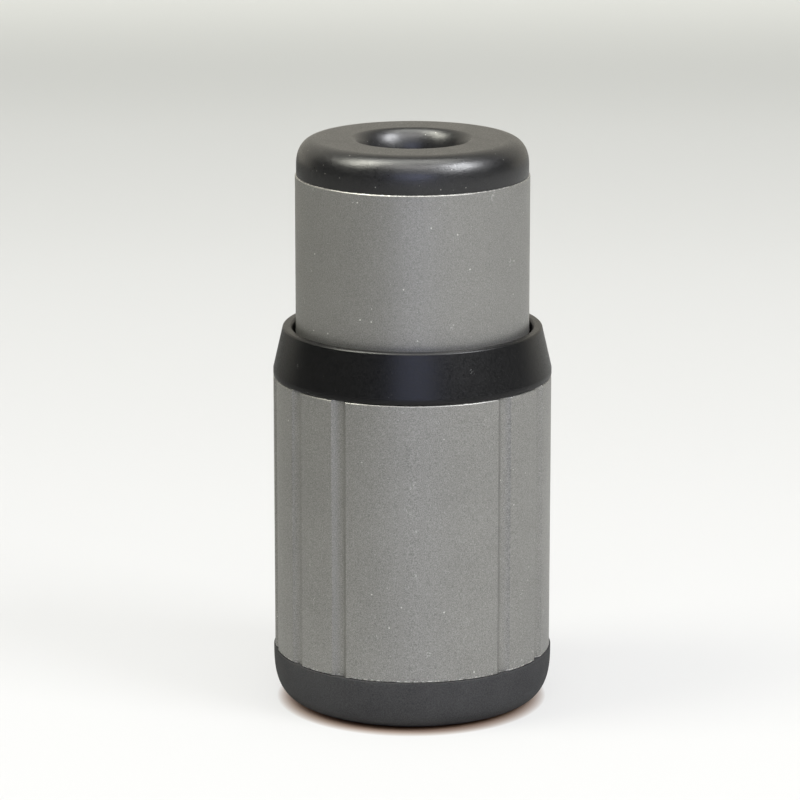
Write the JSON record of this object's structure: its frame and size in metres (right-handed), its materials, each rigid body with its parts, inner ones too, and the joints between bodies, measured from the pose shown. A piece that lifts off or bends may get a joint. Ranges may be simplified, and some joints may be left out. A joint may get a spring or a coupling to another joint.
{
  "type": "pocket monocular",
  "caption": "Slim twist-focus pocket monocular with a grooved metal barrel, a black tapered collar, a rubber eyecup and a rubber bumper that it stands on.",
  "frame": {"origin": "middle of the bumper's flat ring, at the objective end, on which the monocular stands", "axes": "+Z along the optical axis from the objective towards the eyecup; -Y is the front, where the picture's camera stands; +X to the right"},
  "size_m": [0.0322, 0.0322, 0.0658],
  "materials": {
    "grey_paint": "fine metallic grey paint, satin",
    "collar_black": "satin black",
    "felt": "dense black felt",
    "liner_brass": "turned, greased",
    "bumper_rubber": "soft matte",
    "black_anodised": "matte black anodised",
    "coated_glass": "polished, blue-green coating",
    "flint_glass": "polished",
    "prism_glass": "polished",
    "seal_rubber": "smooth black nitrile",
    "black_plastic": "matte black",
    "acetal": "natural white, smooth",
    "steel": "bright",
    "eyecup_rubber": "satin moulded",
    "shim_foil": "thin rolled foil"
  },
  "bodies": {
    "barrel": {"barrel_sleeve": "grey_paint", "barrel_collar": "collar_black", "wiper_felt": "felt", "helicoid_liner": "liner_brass", "front_bumper": "bumper_rubber", "objective_cell": "black_anodised", "objective_crown_lens": "coated_glass", "objective_flint_lens": "flint_glass", "objective_retainer": "black_anodised", "objective_seal": "seal_rubber", "light_baffle": "black_plastic"},
    "glide": {"glide_ring": "acetal"},
    "eyepiece": {"draw_tube": "grey_paint", "follower_pins": "steel", "eyecup": "eyecup_rubber", "eyepiece_cell": "black_anodised", "eyepiece_seal": "seal_rubber", "eye_crown_lens": "coated_glass", "eye_flint_lens": "flint_glass", "lens_spacer": "black_anodised", "field_lens": "coated_glass", "field_stop": "black_plastic", "eyepiece_retainer": "black_anodised", "prism_cage": "black_plastic", "deflecting_prism": "prism_glass", "roof_prism": "prism_glass", "prism_shims": "shim_foil", "prism_clip": "steel", "clip_screws": "steel", "prism_retainer": "black_anodised"}
  },
  "joints": [
    {"name": "focus_travel", "type": "slide", "parent": "barrel", "child": "glide", "axis": [0, 0, 1], "range_m": [-0.017, 0]},
    {"name": "focus_twist", "type": "hinge", "parent": "glide", "child": "eyepiece", "pos_m": [0, 0, 0.0329], "axis": [0, 0, 1], "range_deg": [-340, 0]}
  ],
  "couplings": [
    {"joint": "focus_twist", "follows": "focus_travel", "rad_per_m": 349.06}
  ]
}
